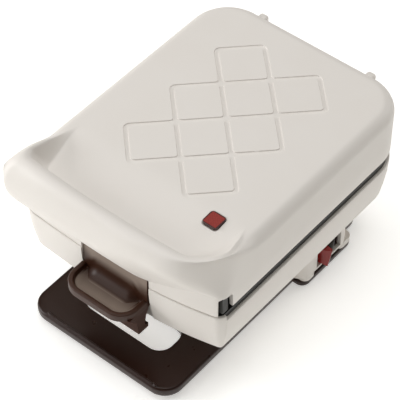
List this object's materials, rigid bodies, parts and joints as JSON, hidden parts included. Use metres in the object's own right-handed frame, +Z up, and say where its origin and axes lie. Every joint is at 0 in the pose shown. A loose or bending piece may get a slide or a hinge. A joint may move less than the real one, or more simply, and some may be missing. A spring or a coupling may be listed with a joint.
{
  "type": "donut maker",
  "caption": "Compact press-type electric donut maker: quilted cream lid with a front lip, ring plates, front latch, carry handle and side rocker switch.",
  "frame": {"origin": "on the table under the middle of the overall length and width", "axes": "+X to the right seen from the front, +Y to the rear hinge, +Z up; the front latch faces -Y"},
  "size_m": [0.15, 0.217, 0.1234],
  "materials": {
    "cream_shell": "satin",
    "brown_plastic": "semi-gloss",
    "rubber": "matt",
    "zinc_steel": "zinc plated",
    "spring_steel": "drawn",
    "heater_sheath": "oxidised",
    "aluminised_steel": "rolled",
    "nonstick_coating": "matt",
    "red_lens": "gloss",
    "lamp_glass": "clear",
    "dark_plastic": "satin",
    "red_rocker": "gloss",
    "white_nylon": "natural",
    "silicone_lead": "satin",
    "grey_plastic": "satin"
  },
  "bodies": {
    "base": {"base_tub": "cream_shell", "lower_housing": "cream_shell", "bottom_plate": "brown_plastic", "rubber_feet": "rubber", "base_screws": "zinc_steel", "switch_bezel": "dark_plastic", "switch_body": "dark_plastic", "terminal_block": "white_nylon", "cord_gland": "rubber", "thermostat": "zinc_steel", "thermal_fuse": "zinc_steel", "base_leads": "silicone_lead", "lower_heater": "heater_sheath", "lower_reflector": "aluminised_steel", "lower_heater_clips": "zinc_steel", "lower_plate": "nonstick_coating", "lower_plate_clips": "zinc_steel", "hinge_pins": "zinc_steel", "lower_release_spring": "spring_steel"},
    "lid": {"lid_shell": "cream_shell", "upper_heater": "heater_sheath", "upper_reflector": "aluminised_steel", "upper_heater_clips": "zinc_steel", "upper_plate": "nonstick_coating", "upper_plate_clips": "zinc_steel", "indicator_lens": "red_lens", "lamp_holder": "dark_plastic", "indicator_lamp": "lamp_glass", "hinge_arms": "zinc_steel", "hinge_screws": "zinc_steel", "lid_leads": "silicone_lead", "latch_pin": "zinc_steel", "upper_release_spring": "spring_steel"},
    "latch": {"latch_lever": "brown_plastic"},
    "rocker": {"rocker": "red_rocker"},
    "upper_release": {"upper_release": "grey_plastic"},
    "lower_release": {"lower_release": "grey_plastic"}
  },
  "joints": [
    {"name": "lid_hinge", "type": "hinge", "parent": "base", "child": "lid", "pos_m": [0, 0.1035, 0.064], "axis": [-1, 0, 0], "range_deg": [0, 100]},
    {"name": "latch_pivot", "type": "hinge", "parent": "lid", "child": "latch", "pos_m": [0, -0.0852, 0.0759], "axis": [-1, 0, 0], "range_deg": [0, 35]},
    {"name": "rocker_tilt", "type": "hinge", "parent": "base", "child": "rocker", "pos_m": [0.0565, 0.0412, 0.0196], "axis": [0, 0, -1], "range_deg": [0, 14]},
    {"name": "upper_release_press", "type": "slide", "parent": "lid", "child": "upper_release", "axis": [-1, 0, 0], "range_m": [0, 0.0025], "stiffness_N_per_m": 400, "springref_m": -0.001},
    {"name": "lower_release_press", "type": "slide", "parent": "base", "child": "lower_release", "axis": [1, 0, 0], "range_m": [0, 0.0025], "stiffness_N_per_m": 400, "springref_m": -0.001}
  ]
}
